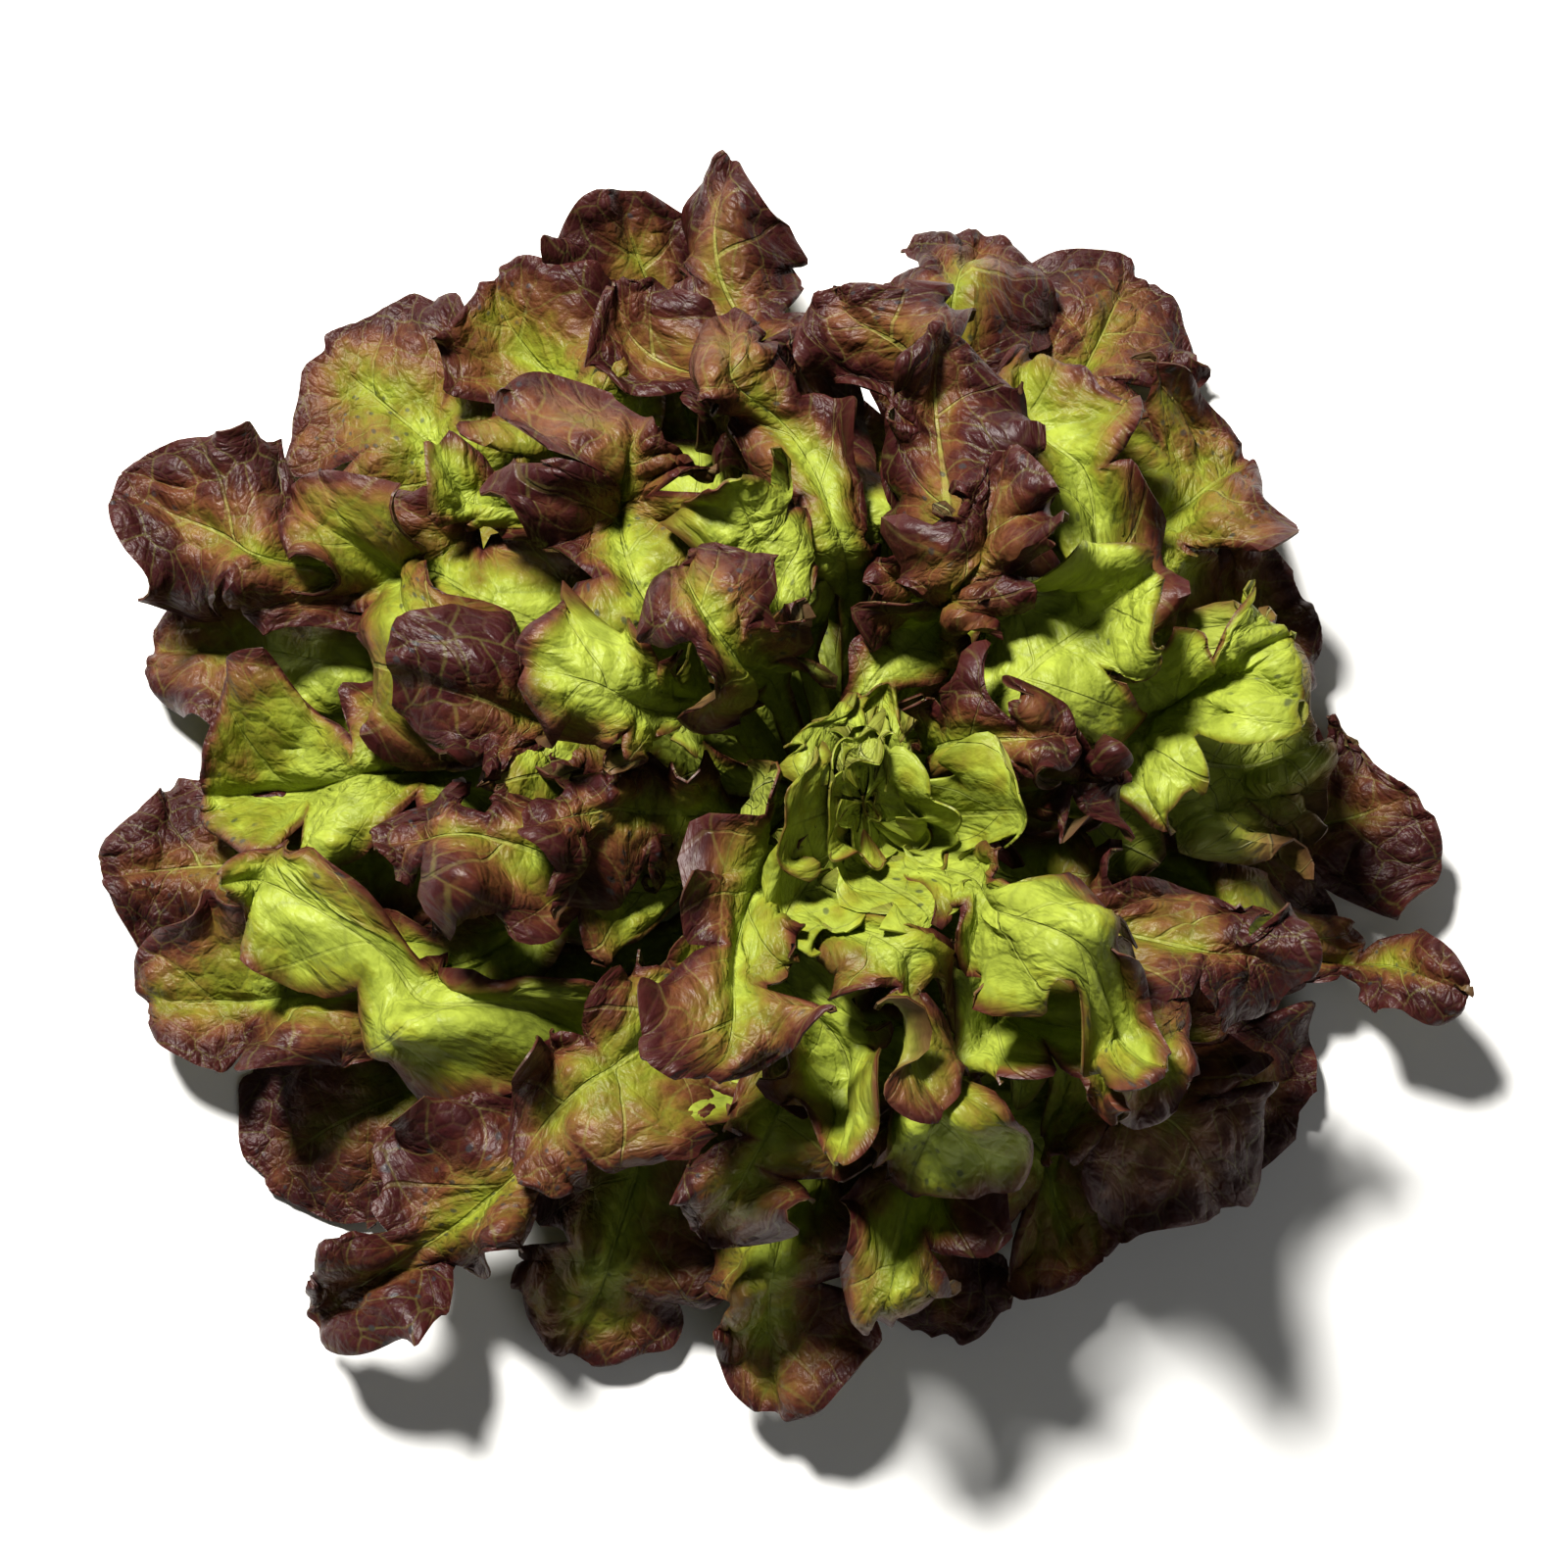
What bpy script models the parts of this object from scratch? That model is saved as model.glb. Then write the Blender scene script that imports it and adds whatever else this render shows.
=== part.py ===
"""A cut head of red oak leaf lettuce: a short stem, the big leaves round it, and a frilly heart.

Metres, +Z up. The origin is the centre of the stem's flat cut face, on which the head stands.
+X points to the head's right and +Y to its back.

The head is a fountain of nested surfaces. A point is placed by its azimuth round the stem, its
distance from the origin and its layer: layer 0 is the lowest surface and layer 1 the steepest one,
round the heart. From leaf to leaf the layer rises and the azimuth turns by the golden angle, as
leaves grow. Each blade waves within a few steps of its own layer, so neighbours never cross.
"""

import math
import random

import bmesh
import bpy

# The stem, a cone that narrows upwards
STEM_RADIUS = 0.0160
STEM_TAPER = 0.20
STEM_HEIGHT = 0.0500
STEM_CHAMFER = 0.0012
STEM_SIDES = 28
PIECE_GAP = 0.0004

# The nested surfaces: their angles above the floor at the stem and at the tips, lowest and steepest
ROOT_ANGLES = (math.radians(13.0), math.radians(80.0))
TIP_ANGLES = (math.radians(2.0), math.radians(71.0))
RIM_RISE = 0.50
INNER_RISE_POWER = 2.8
ARCH_LENGTH = 0.130
DROOP = 0.44
DROOP_START = 0.100
DROOP_LENGTH = 0.090
FLOOR_CLEARANCE = 0.0016
REACH_ROUNDS = 60

# How the heart leans to the right and to the front above the stem
LEAN_START = 0.035
LEAN = (3.2, -2.6)

GOLDEN_ANGLE = math.radians(137.508)
FIRST_AZIMUTH = math.radians(223.0)
LEAF_SEED = 7900
HEART_SEED = 8700

# The leaves from the lowest up: direction of the tip in degrees, reach from the stem's axis, half
# width, and how many degrees the upper part of the leaf hooks, positive towards larger directions
OUTER_LEAVES = (
    (213.0, 0.161, 0.030, 8),
    (3.0, 0.138, 0.026, 40),
    (137.5, 0.161, 0.031, 0),
    (282.0, 0.128, 0.018, -8),
    (60.0, 0.146, 0.031, -10),
    (186.0, 0.177, 0.027, 0),
    (326.5, 0.125, 0.027, 12),
    (109.0, 0.150, 0.027, -15),
    (245.0, 0.143, 0.028, 0),
    (23.5, 0.127, 0.026, 0),
    (167.5, 0.166, 0.023, 10),
    (300.0, 0.123, 0.026, 10),
    (75.0, 0.137, 0.026, 0),
    (195.5, 0.168, 0.021, -12),
    (342.5, 0.158, 0.013, 12),
    (123.0, 0.147, 0.027, 0),
    (264.0, 0.144, 0.020, 10),
    (41.5, 0.130, 0.029, 0),
    (179.0, 0.147, 0.030, 12),
    (314.0, 0.121, 0.028, -10),
    (99.0, 0.148, 0.021, -30),
    (227.5, 0.170, 0.018, 0),
    (6.0, 0.117, 0.034, 10),
    (158.0, 0.179, 0.026, 0),
)
INNER_LEAVES = (
    (189.0, 0.145, 0.022, 20),
    (113.0, 0.127, 0.019, 0),
    (151.0, 0.140, 0.018, 0),
    (66.0, 0.115, 0.018, 15),
    (140.0, 0.125, 0.014, -20),
    (229.0, 0.113, 0.020, 0),
    (89.0, 0.119, 0.019, 10),
    (167.0, 0.102, 0.022, 15),
    (274.0, 0.122, 0.022, -10),
    (106.0, 0.115, 0.014, 15),
    (186.0, 0.110, 0.018, 0),
    (18.0, 0.106, 0.023, 0),
    (120.0, 0.104, 0.027, -75),
    (253.0, 0.108, 0.018, -15),
    (78.0, 0.107, 0.019, -10),
    (187.0, 0.077, 0.017, -15),
    (336.0, 0.108, 0.021, -15),
    (117.0, 0.078, 0.017, 0),
    (286.0, 0.090, 0.021, 0),
    (40.0, 0.078, 0.020, 0),
    (160.0, 0.083, 0.017, 20),
    (316.0, 0.092, 0.021, 10),
    (72.0, 0.085, 0.021, 20),
    (260.0, 0.074, 0.018, -10),
    (9.0, 0.053, 0.018, -10),
    (134.0, 0.072, 0.018, 0),
    (278.0, 0.060, 0.016, 30),
    (27.0, 0.040, 0.015, 0),
    (226.0, 0.074, 0.020, 10),
    (317.0, 0.070, 0.018, 15),
)
LEAVES = OUTER_LEAVES + INNER_LEAVES

# A leaf's outline, from its stalk through the lobes to the tip, in shares of its length
STALK_HALF_WIDTH = 0.0052
STALK_NARROWING = 0.6
SPREAD_START = 0.10
SPREAD_LENGTH = 0.46
TIP_START = 0.76
TIP_LENGTH = 0.252
LAST_NOTCH = 0.77
NOTCH_SPACING = 0.235
NOTCH_SHARPNESS = 2.2
NOTCH_DEPTHS = (0.50, 0.68)
NOTCH_SHIFTS = ((-0.05, 0.02), (0.00, 0.07))
NOTCH_END = 0.92
NOTCH_FADE = 0.08
LOBE_SWEEP = 0.34
SWEEP_RISE = 0.30
SWEEP_END = 1.02
SWEEP_FADE = 0.34
HOOK_START = 0.45

# A leaf's thickness and its grid
BLADE_THICKNESS = 0.0008
RIB_THICKNESS = 0.0034
RIB_NARROWING = 0.8
ROW_CROWDING = 0.85
LEAF_ROWS = 13
LEAF_COLUMNS = 4

# How far a blade waves from its layer, in steps from leaf to leaf, at the rim and by the heart
WAVE_STEPS = (4.6, 1.2)
CURL_STEPS = (2.6, 1.0)
OPEN_START = 0.12
OPEN_LENGTH = 0.40
WAVES_A_LOBE = 0.62
WAVE_HEIGHT = 0.55
WAVE_EDGE_POWER = 1.3
CUPS = (-0.15, 0.30)
TWISTS = (-0.25, 0.25)
CURL_START = 0.68
CURL_LENGTH = 0.34
CURL_EDGE_LOSS = 0.4
LEAST_OPENING = 0.10

# The heart: a core on the stem's top and small leaves fused to it
HEART_LEAF_COUNT = 11
HEART_ROWS = 6
HEART_COLUMNS = 4
HEART_CORE_RADIUS = 0.0056
HEART_CORE_TOP = 0.0700
HEART_CORE_TAPER = 0.55
HEART_CORE_ROUNDING = (0.0020, 0.0040)
HEART_CORE_SIDES = 12
HEART_ROOT = 0.0530
HEART_LENGTHS = (0.049, 0.034)
HEART_LENGTH_SPREAD = (0.85, 1.15)
HEART_EDGE_REACH = 0.10
HEART_HALF_WIDTH = 0.015
HEART_HALF_TURN = math.radians(44.0)
HEART_NARROW_ROOT = 0.35
HEART_WIDENING = 1.5
HEART_TIP_ROUNDING = 0.8
HEART_WALL_STEPS = 2.4
HEART_FLARE = (0.92, 0.36)
HEART_NEAR_SHARE = 0.25
HEART_OPENING = 1.3
HEART_RUFFLE = 0.036
HEART_RUFFLE_TURNS = (7.0, 2.6)

LEAF_GREEN = (0.17, 0.26, 0.03)
LEAF_RED = (0.085, 0.025, 0.020)
HEART_GREEN = (0.34, 0.50, 0.06)
STEM_CREAM = (0.66, 0.66, 0.42)


def mix(low, high, share):
    return low + (high - low) * share


def smooth_step(value):
    value = min(1.0, max(0.0, value))
    return value * value * (3.0 - 2.0 * value)


def surface_angle(layer, distance):
    """How high a layer stands above the floor at this distance, as an angle at the origin."""
    root = mix(*ROOT_ANGLES, layer)
    rise = RIM_RISE * layer + (1.0 - RIM_RISE) * max(0.0, layer) ** INNER_RISE_POWER
    tip = mix(*TIP_ANGLES, rise)
    arch = mix(root, tip, smooth_step((distance - STEM_RADIUS) / ARCH_LENGTH))
    return arch * (1.0 - DROOP * smooth_step((distance - DROOP_START) / DROOP_LENGTH))


def head_point(azimuth, angle, distance):
    """A point of the head, kept just above the floor and moved by the head's lean."""
    flat = distance * math.cos(angle)
    height = distance * math.sin(angle)
    height = 0.5 * (height + math.hypot(height, FLOOR_CLEARANCE * 2.0))
    lean = max(0.0, height - LEAN_START) ** 2
    x = flat * math.cos(azimuth) + LEAN[0] * lean
    y = flat * math.sin(azimuth) + LEAN[1] * lean
    return (x, y, height)


def distance_at_reach(layer, reach):
    """The distance at which a layer is this far from the stem's axis in plan."""
    distance = reach
    for _ in range(REACH_ROUNDS):
        distance = mix(distance, reach / math.cos(surface_angle(layer, distance)), 0.4)
    return distance


def opening(layer, distance):
    """What an angle in a leaf's own surface is divided by to give a turn round the stem."""
    return math.cos(surface_angle(layer, distance)) + LEAST_OPENING


def arc_end(length, turn):
    """Where an arc of this length and turn ends, ahead of its start and aside from it."""
    if turn == 0.0:
        return length, 0.0
    return length * math.sin(turn) / turn, length * (1.0 - math.cos(turn)) / turn


class Leaf:
    """Where one leaf grows, its size, and the draws that give it lobes and waves of its own."""

    def __init__(self, order):
        draw = random.Random(LEAF_SEED + order)
        tip, reach, self.half_width, hook = LEAVES[order]
        if order < len(OUTER_LEAVES):
            self.name = f"outer_leaf_{order + 1:02d}"
        else:
            self.name = f"inner_leaf_{order - len(OUTER_LEAVES) + 1:02d}"
        self.layer = order / (len(LEAVES) - 1)
        self.hook = math.radians(hook)
        root_angle = surface_angle(self.layer, STEM_RADIUS)
        clearance = PIECE_GAP + RIB_THICKNESS / 2 * math.sin(root_angle)
        self.root = (STEM_RADIUS + clearance) / (math.cos(root_angle) + STEM_TAPER * math.sin(root_angle))
        distance = distance_at_reach(self.layer, reach)
        ahead, aside = arc_end(1.0 - HOOK_START, self.hook)
        self.length = (distance - self.root) / math.hypot(HOOK_START + ahead, aside)
        ahead, aside, _ = self.midline(1.0)
        self.azimuth = FIRST_AZIMUTH + order * GOLDEN_ANGLE
        turn = math.radians(tip) - math.atan2(aside, ahead) / opening(self.layer, distance) - self.azimuth
        self.sway = (turn + math.pi) % math.tau - math.pi
        self.notch_depth = draw.uniform(*NOTCH_DEPTHS)
        self.notch_shift = [draw.uniform(*shifts) for shifts in NOTCH_SHIFTS]
        self.wave = mix(*WAVE_STEPS, self.layer) / (len(LEAVES) - 1)
        self.wave_turn = (draw.uniform(0, math.tau), draw.uniform(0, math.tau))
        self.cup = draw.uniform(*CUPS)
        self.twist = draw.uniform(*TWISTS)
        self.curl = mix(*CURL_STEPS, self.layer) / (len(LEAVES) - 1) * draw.uniform(-1.0, 1.0)

    def midline(self, along):
        """The midline's place, ahead of the stem's axis and aside, and how far it has turned there."""
        past = max(0.0, along - HOOK_START)
        turn = self.hook * past / (1.0 - HOOK_START)
        ahead, aside = arc_end(self.length * past, turn)
        return self.root + self.length * (along - past) + ahead, aside, turn

    def half_width_at(self, along, side):
        """The blade's half width: a stalk, then lobes between notches, then a round end."""
        spread = smooth_step((along - SPREAD_START) / SPREAD_LENGTH)
        rounding = math.sqrt(max(0.0, 1.0 - (max(0.0, along - TIP_START) / TIP_LENGTH) ** 2))
        phase = (LAST_NOTCH + self.notch_shift[side] - along) / NOTCH_SPACING
        notch = (0.5 + 0.5 * math.cos(math.tau * phase)) ** NOTCH_SHARPNESS
        notch *= smooth_step((NOTCH_END - along) / NOTCH_FADE)
        blade = self.half_width * spread * rounding * (1.0 - self.notch_depth * notch)
        return max(STALK_HALF_WIDTH * (1.0 - STALK_NARROWING * along), blade)

    def layer_at(self, along, across, side):
        """The layer of a point of the blade: the leaf's own, with waves, cup, twist and tip curl."""
        open_blade = smooth_step((along - OPEN_START) / OPEN_LENGTH)
        lobe_turn = math.tau * along / NOTCH_SPACING * WAVES_A_LOBE + self.wave_turn[side]
        wave = math.sin(lobe_turn) * WAVE_HEIGHT * abs(across) ** WAVE_EDGE_POWER
        bend = self.cup * across * across + self.twist * across * along
        curl = self.curl * smooth_step((along - CURL_START) / CURL_LENGTH)
        curl *= 1.0 - CURL_EDGE_LOSS * abs(across)
        return self.layer + open_blade * self.wave * (wave + bend) + curl

    def point(self, along, across):
        """The place of a point of the blade: along from root to tip, across from -1 to 1."""
        side = 0 if across < 0 else 1
        aside = across * self.half_width_at(along, side)
        sweep = LOBE_SWEEP * smooth_step(along / SWEEP_RISE) * smooth_step((SWEEP_END - along) / SWEEP_FADE)
        ahead = sweep * abs(aside)
        mid_ahead, mid_aside, turn = self.midline(along)
        x = mid_ahead + ahead * math.cos(turn) - aside * math.sin(turn)
        y = mid_aside + ahead * math.sin(turn) + aside * math.cos(turn)
        distance = math.hypot(x, y)
        azimuth = self.azimuth + self.sway * smooth_step(along)
        azimuth += math.atan2(y, x) / opening(self.layer, distance)
        return head_point(azimuth, surface_angle(self.layer_at(along, across, side), distance), distance)


class HeartLeaf:
    """One small leaf of the heart, which stays inside the innermost leaf's surface."""

    def __init__(self, order):
        draw = random.Random(HEART_SEED + order)
        self.azimuth = FIRST_AZIMUTH + (len(LEAVES) + order) * GOLDEN_ANGLE
        inner = order / (HEART_LEAF_COUNT - 1)
        self.flare = mix(*HEART_FLARE, inner)
        self.length = mix(*HEART_LENGTHS, inner) * draw.uniform(*HEART_LENGTH_SPREAD)
        self.wave_turn = draw.uniform(0, math.tau)

    def point(self, along, across):
        """The place of a point of the leaf, at a share of the way from the axis to the inner leaves."""
        distance = HEART_ROOT + self.length * (along + HEART_EDGE_REACH * abs(across) * along)
        wall = math.pi / 2 - surface_angle(1.0 + HEART_WALL_STEPS / len(LEAVES), distance)
        ruffle_turn = HEART_RUFFLE_TURNS[0] * along + HEART_RUFFLE_TURNS[1] * across + self.wave_turn
        ruffle = HEART_RUFFLE * math.sin(ruffle_turn) * abs(across) * along
        share = self.flare * mix(HEART_NEAR_SHARE, 1.0, smooth_step(along * HEART_OPENING)) + ruffle
        width = HEART_HALF_WIDTH * mix(HEART_NARROW_ROOT, 1.0, smooth_step(along * HEART_WIDENING))
        width *= math.sqrt(1.0 - (HEART_TIP_ROUNDING * along) ** 4)
        turn = across * min(HEART_HALF_TURN, width / (distance * math.sin(wall * share)))
        return head_point(self.azimuth + turn, math.pi / 2 - wall * share, distance)


def clear_scene():
    for obj in list(bpy.data.objects):
        bpy.data.objects.remove(obj)


def new_collection(name):
    collection = bpy.data.collections.new(name)
    bpy.context.scene.collection.children.link(collection)
    return collection


def new_material(name, color, roughness):
    material = bpy.data.materials.new(name)
    material.use_nodes = True
    shader = material.node_tree.nodes["Principled BSDF"]
    shader.inputs["Base Color"].default_value = (*color, 1.0)
    shader.inputs["Roughness"].default_value = roughness
    shader.inputs["Metallic"].default_value = 0.0
    return material


def new_object(name, mesh, collection, material):
    obj = bpy.data.objects.new(name, mesh)
    collection.objects.link(obj)
    mesh.materials.append(material)
    return obj


def add_blade(name, leaf, rows, columns, rib_thickness, collection, material):
    """A flat grid bent to a leaf's shape, with Solidify giving it its blade and its thicker rib."""
    grid = bmesh.new()
    bmesh.ops.create_grid(grid, x_segments=columns, y_segments=rows, size=0.5)
    bmesh.ops.triangulate(grid, faces=grid.faces, quad_method="FIXED")
    rib_shares = []
    for vertex in grid.verts:
        along = (vertex.co.y + 0.5) ** ROW_CROWDING
        across = vertex.co.x * 2.0
        rib_shares.append(max(0.0, 1.0 - 2.0 * abs(across)) * (1.0 - RIB_NARROWING * along))
        vertex.co = leaf.point(along, across)
    mesh = bpy.data.meshes.new(name)
    grid.to_mesh(mesh)
    grid.free()
    mesh.shade_smooth()
    blade = new_object(name, mesh, collection, material)
    rib = blade.vertex_groups.new(name="rib")
    for index, share in enumerate(rib_shares):
        rib.add([index], share, "REPLACE")
    solid = blade.modifiers.new("thickness", "SOLIDIFY")
    solid.thickness = rib_thickness
    solid.offset = 0.0
    solid.vertex_group = rib.name
    solid.thickness_vertex_group = BLADE_THICKNESS / rib_thickness
    return blade


def add_turned(name, profile, sides, collection, material):
    """A solid turned round +Z from a profile that runs from the top down its outer side."""
    mesh = bpy.data.meshes.new(name)
    edges = [(n, n + 1) for n in range(len(profile) - 1)]
    mesh.from_pydata([(radius, 0.0, height) for radius, height in profile], edges, [])
    turned = new_object(name, mesh, collection, material)
    screw = turned.modifiers.new("turn", "SCREW")
    screw.steps = sides
    screw.render_steps = sides
    screw.use_merge_vertices = True
    screw.merge_threshold = 0.0001
    return turned


def build_stem(collection, material):
    top = STEM_RADIUS - STEM_TAPER * STEM_HEIGHT
    profile = (
        (0.0, STEM_HEIGHT),
        (top - STEM_CHAMFER, STEM_HEIGHT),
        (top, STEM_HEIGHT - STEM_CHAMFER),
        (STEM_RADIUS - STEM_TAPER * STEM_CHAMFER, STEM_CHAMFER),
        (STEM_RADIUS - STEM_CHAMFER, 0.0),
        (0.0, 0.0),
    )
    return add_turned("stem", profile, STEM_SIDES, collection, material)


def build_heart(collection, cutters, material):
    """The heart's core above the stem, with its small leaves sunk into it and fused."""
    bottom = STEM_HEIGHT + PIECE_GAP
    profile = (
        (0.0, HEART_CORE_TOP),
        (HEART_CORE_RADIUS * HEART_CORE_TAPER, HEART_CORE_TOP - HEART_CORE_ROUNDING[0]),
        (HEART_CORE_RADIUS, bottom + HEART_CORE_ROUNDING[1]),
        (HEART_CORE_RADIUS, bottom),
        (0.0, bottom),
    )
    heart = add_turned("heart", profile, HEART_CORE_SIDES, collection, material)
    for order in range(HEART_LEAF_COUNT):
        name = f"heart_leaf_{order + 1:02d}"
        blade = add_blade(name, HeartLeaf(order), HEART_ROWS, HEART_COLUMNS, BLADE_THICKNESS, cutters, material)
        blade.hide_render = True
        blade.display_type = "WIRE"
    union = heart.modifiers.new("leaves", "BOOLEAN")
    union.operation = "UNION"
    union.operand_type = "COLLECTION"
    union.collection = cutters
    union.solver = "MANIFOLD"
    return heart


def main():
    clear_scene()
    head = new_collection("red_oak_leaf_lettuce")
    heart_leaves = new_collection("heart_leaves")
    green = new_material("leaf_green", LEAF_GREEN, 0.45)
    red = new_material("leaf_red", LEAF_RED, 0.42)
    pale = new_material("heart_green", HEART_GREEN, 0.45)
    cream = new_material("stem_cream", STEM_CREAM, 0.6)
    build_stem(head, cream)
    for order in range(len(LEAVES)):
        leaf = Leaf(order)
        material = red if order < len(OUTER_LEAVES) else green
        add_blade(leaf.name, leaf, LEAF_ROWS, LEAF_COLUMNS, RIB_THICKNESS, head, material)
    build_heart(head, heart_leaves, pale)


main()
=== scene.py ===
import math
import random

import bpy
import numpy as np
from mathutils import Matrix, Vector


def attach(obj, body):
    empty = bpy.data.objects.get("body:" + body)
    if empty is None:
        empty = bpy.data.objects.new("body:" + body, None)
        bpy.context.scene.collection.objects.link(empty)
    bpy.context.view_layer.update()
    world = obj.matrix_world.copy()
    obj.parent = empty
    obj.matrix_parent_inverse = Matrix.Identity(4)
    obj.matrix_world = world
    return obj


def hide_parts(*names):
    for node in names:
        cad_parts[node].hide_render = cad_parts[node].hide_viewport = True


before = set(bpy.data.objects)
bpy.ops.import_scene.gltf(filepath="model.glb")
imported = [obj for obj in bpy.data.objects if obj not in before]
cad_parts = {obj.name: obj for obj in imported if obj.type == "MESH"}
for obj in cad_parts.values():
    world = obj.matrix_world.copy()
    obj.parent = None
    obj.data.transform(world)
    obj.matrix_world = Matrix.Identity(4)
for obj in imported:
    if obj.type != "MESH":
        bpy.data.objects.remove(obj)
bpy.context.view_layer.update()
print("packed head loaded")

# The head's shape: nested surfaces round a cut stem, as in the solids. Metres and radians
headForm = {
    "stemRadius": 0.0160, "stemTaper": 0.20, "stemHeight": 0.0500, "gap": 0.0004,
    "rootAngles": (math.radians(13.0), math.radians(80.0)),
    "tipAngles": (math.radians(2.0), math.radians(71.0)),
    "rimRise": 0.50, "innerRisePower": 2.8, "archLength": 0.130,
    "droop": 0.44, "droopStart": 0.100, "droopLength": 0.090, "floorClearance": 0.0016,
    "leanStart": 0.035, "lean": (3.2, -2.6),
    "goldenAngle": math.radians(137.508), "firstAzimuth": math.radians(223.0),
}

# Leaves from the lowest up: tip direction in degrees, reach and half width in metres, hook in
# degrees, redness from 0 green to 1 maroon, and the tip's roll in radians, downwards if negative
outerLeaves = [
    (213.0, 0.161, 0.030, 8, 0.95, -0.3), (1.0, 0.138, 0.031, 40, 0.95, -0.1),
    (138.0, 0.163, 0.035, 0, 0.72, -0.5), (282.0, 0.130, 0.022, -8, 0.85, -0.5),
    (60.0, 0.149, 0.031, -10, 0.85, -0.6), (186.0, 0.174, 0.027, 0, 0.95, -0.3),
    (326.5, 0.133, 0.029, 12, 0.85, -0.4), (109.0, 0.150, 0.024, -15, 0.88, 0.4),
    (245.0, 0.143, 0.028, 0, 0.55, -0.6), (23.5, 0.124, 0.025, 0, 0.90, -0.6),
    (167.5, 0.166, 0.023, 10, 0.62, -0.4), (300.0, 0.127, 0.027, 10, 0.66, -0.6),
    (75.0, 0.143, 0.026, 0, 0.84, -0.5), (196.5, 0.168, 0.024, -12, 0.58, -0.2),
    (342.5, 0.158, 0.013, 12, 0.72, -0.3), (123.0, 0.147, 0.027, 0, 0.52, -0.6),
    (265.5, 0.142, 0.023, 10, 0.58, -0.8), (41.5, 0.130, 0.029, 0, 0.60, -0.6),
    (179.0, 0.147, 0.030, 12, 0.25, -0.3), (313.0, 0.129, 0.029, -10, 0.80, -0.4),
    (99.0, 0.148, 0.018, -30, 0.90, 0.3), (227.5, 0.173, 0.020, 0, 0.85, -0.1),
    (6.0, 0.117, 0.034, 10, 0.42, -0.2), (158.0, 0.178, 0.024, 0, 0.88, 0.5),
]
innerLeaves = [
    (189.0, 0.145, 0.0185, 20, 0.24, -0.4), (113.0, 0.127, 0.019, 0, 0.84, -0.5),
    (151.0, 0.140, 0.018, 0, 0.54, -0.5), (66.0, 0.115, 0.018, 15, 0.50, -0.6),
    (140.0, 0.125, 0.014, -20, 0.16, -0.8), (229.0, 0.113, 0.020, 0, 0.74, -0.8),
    (89.0, 0.119, 0.019, 10, 0.88, -0.4), (167.0, 0.102, 0.022, 15, 0.90, -0.8),
    (274.0, 0.122, 0.022, -10, 0.48, -0.6), (106.0, 0.115, 0.014, 15, 0.74, -0.8),
    (186.0, 0.110, 0.018, 0, 0.80, -0.6), (18.0, 0.106, 0.023, 0, 0.16, -0.3),
    (120.0, 0.104, 0.027, -75, 0.68, -0.5), (253.0, 0.108, 0.018, -15, 0.60, -0.9),
    (78.0, 0.107, 0.019, -10, 0.92, -0.9), (187.0, 0.077, 0.017, -15, 0.88, -0.9),
    (336.0, 0.108, 0.021, -15, 0.90, -0.7), (117.0, 0.078, 0.017, 0, 0.12, -0.9),
    (286.0, 0.090, 0.021, 0, 0.32, -0.8), (40.0, 0.078, 0.020, 0, 0.16, -0.6),
    (160.0, 0.083, 0.017, 20, 0.26, -0.8), (316.0, 0.092, 0.021, 10, 0.34, -0.7),
    (72.0, 0.085, 0.021, 20, 0.92, -0.9), (260.0, 0.074, 0.018, -10, 0.18, -0.6),
    (9.0, 0.053, 0.018, -10, 0.95, -0.9), (134.0, 0.072, 0.018, 0, 0.64, -0.9),
    (278.0, 0.060, 0.016, 30, 0.64, 0.9), (27.0, 0.040, 0.015, 0, 0.92, -0.8),
    (226.0, 0.074, 0.020, 10, 0.58, -0.9), (317.0, 0.070, 0.018, 15, 0.24, -0.8),
]
turnedLeaves = [22]     # leaves whose top faces take the underside's colours and raised veins, by their place in the list
leafRows = outerLeaves + innerLeaves
leafCount = len(leafRows)
mapScale = 10.0         # the leaf's own maps, in units of 0.1 m
marginWidth = 0.0018    # of the thin dark line along the margins

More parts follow.
